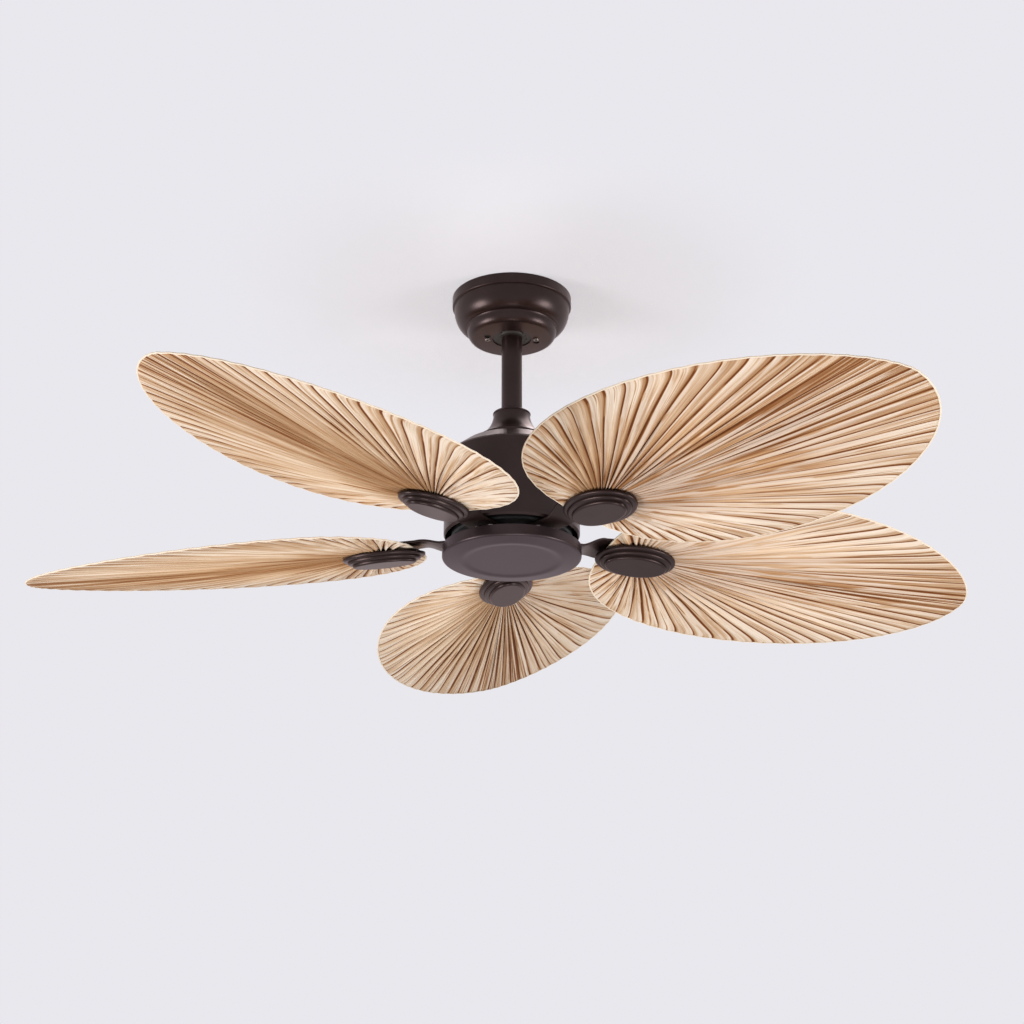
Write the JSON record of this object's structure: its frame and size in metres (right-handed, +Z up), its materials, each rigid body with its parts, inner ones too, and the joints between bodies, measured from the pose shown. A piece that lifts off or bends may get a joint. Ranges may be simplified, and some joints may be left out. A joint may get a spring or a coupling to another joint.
{
  "type": "ceiling fan",
  "caption": "Ceiling fan hung on a down rod from a ball-and-socket hanger, with pleated palm-leaf blades clamped between oval medallions and blade irons round a drum motor.",
  "frame": {"origin": "middle of the hanger bracket's face on the ceiling, on the fan's axis", "axes": "+Z up, out of the bracket's face into the ceiling, along the fan's axis; +X along the line of the bracket's two ceiling screw slots, to the right of the pictured view; +Y away from the pictured view"},
  "size_m": [1.2579, 1.2276, 0.3752],
  "materials": {
    "bronze": "satin dark bronze",
    "bronze_pan": "satin dark bronze, a shade lighter from below",
    "black_steel": "semi-gloss black",
    "zinc": "bright zinc",
    "steel": "ground steel",
    "nylon": "matte nylon",
    "cast": "as cast",
    "aluminium": "die cast",
    "lamination": "stamped electrical steel",
    "copper": "enamelled wire",
    "magnet": "laminated core with cast bars",
    "capacitor_case": "moulded plastic",
    "palm_leaf": "dried pleated palm leaf, clear matte varnish"
  },
  "bodies": {
    "mount": {"ceiling_bracket": "black_steel", "ground_screw": "zinc", "canopy": "bronze", "canopy_screws": "zinc"},
    "hanger": {"hanger_ball": "nylon", "hanger_pin": "steel", "ball_set_screw": "steel", "downrod": "bronze", "coupling_cover": "bronze", "motor_coupler": "cast", "clevis_pin": "steel", "hairpin_clip": "steel", "coupler_set_screws": "steel", "motor_housing": "bronze", "housing_screws": "zinc", "motor_shaft": "steel", "stator_core": "lamination", "stator_windings": "copper", "upper_bearing_inner": "steel", "upper_bearing_balls": "steel", "lower_bearing_inner": "steel", "lower_bearing_balls": "steel", "pan_plate": "zinc", "pan_plate_nuts": "zinc", "bottom_pan": "bronze_pan", "capacitor": "capacitor_case", "capacitor_clip": "zinc", "clip_screws": "zinc"},
    "rotor": {"upper_rotor_shell": "aluminium", "lower_rotor_shell": "black_steel", "rotor_core": "magnet", "rotor_shell_screws": "zinc", "upper_bearing_outer": "steel", "lower_bearing_outer": "steel", "iron_screws": "zinc", "blade_screws": "zinc", "blade_washers": "zinc", "blade_iron_1": "bronze", "leaf_blade_1": "palm_leaf", "medallion_1": "bronze", "blade_iron_2": "bronze", "leaf_blade_2": "palm_leaf", "medallion_2": "bronze", "blade_iron_3": "bronze", "leaf_blade_3": "palm_leaf", "medallion_3": "bronze", "blade_iron_4": "bronze", "leaf_blade_4": "palm_leaf", "medallion_4": "bronze", "blade_iron_5": "bronze", "leaf_blade_5": "palm_leaf", "medallion_5": "bronze"}
  },
  "joints": [
    {"name": "ball_swing", "type": "hinge", "parent": "mount", "child": "hanger", "pos_m": [0, 0, -0.03955], "axis": [1, 0, 0], "range_deg": [-15, 15]},
    {"name": "rotor_spin", "type": "hinge", "parent": "hanger", "child": "rotor", "pos_m": [0, 0, -0.285], "axis": [0, 0, 1], "continuous": true}
  ]
}
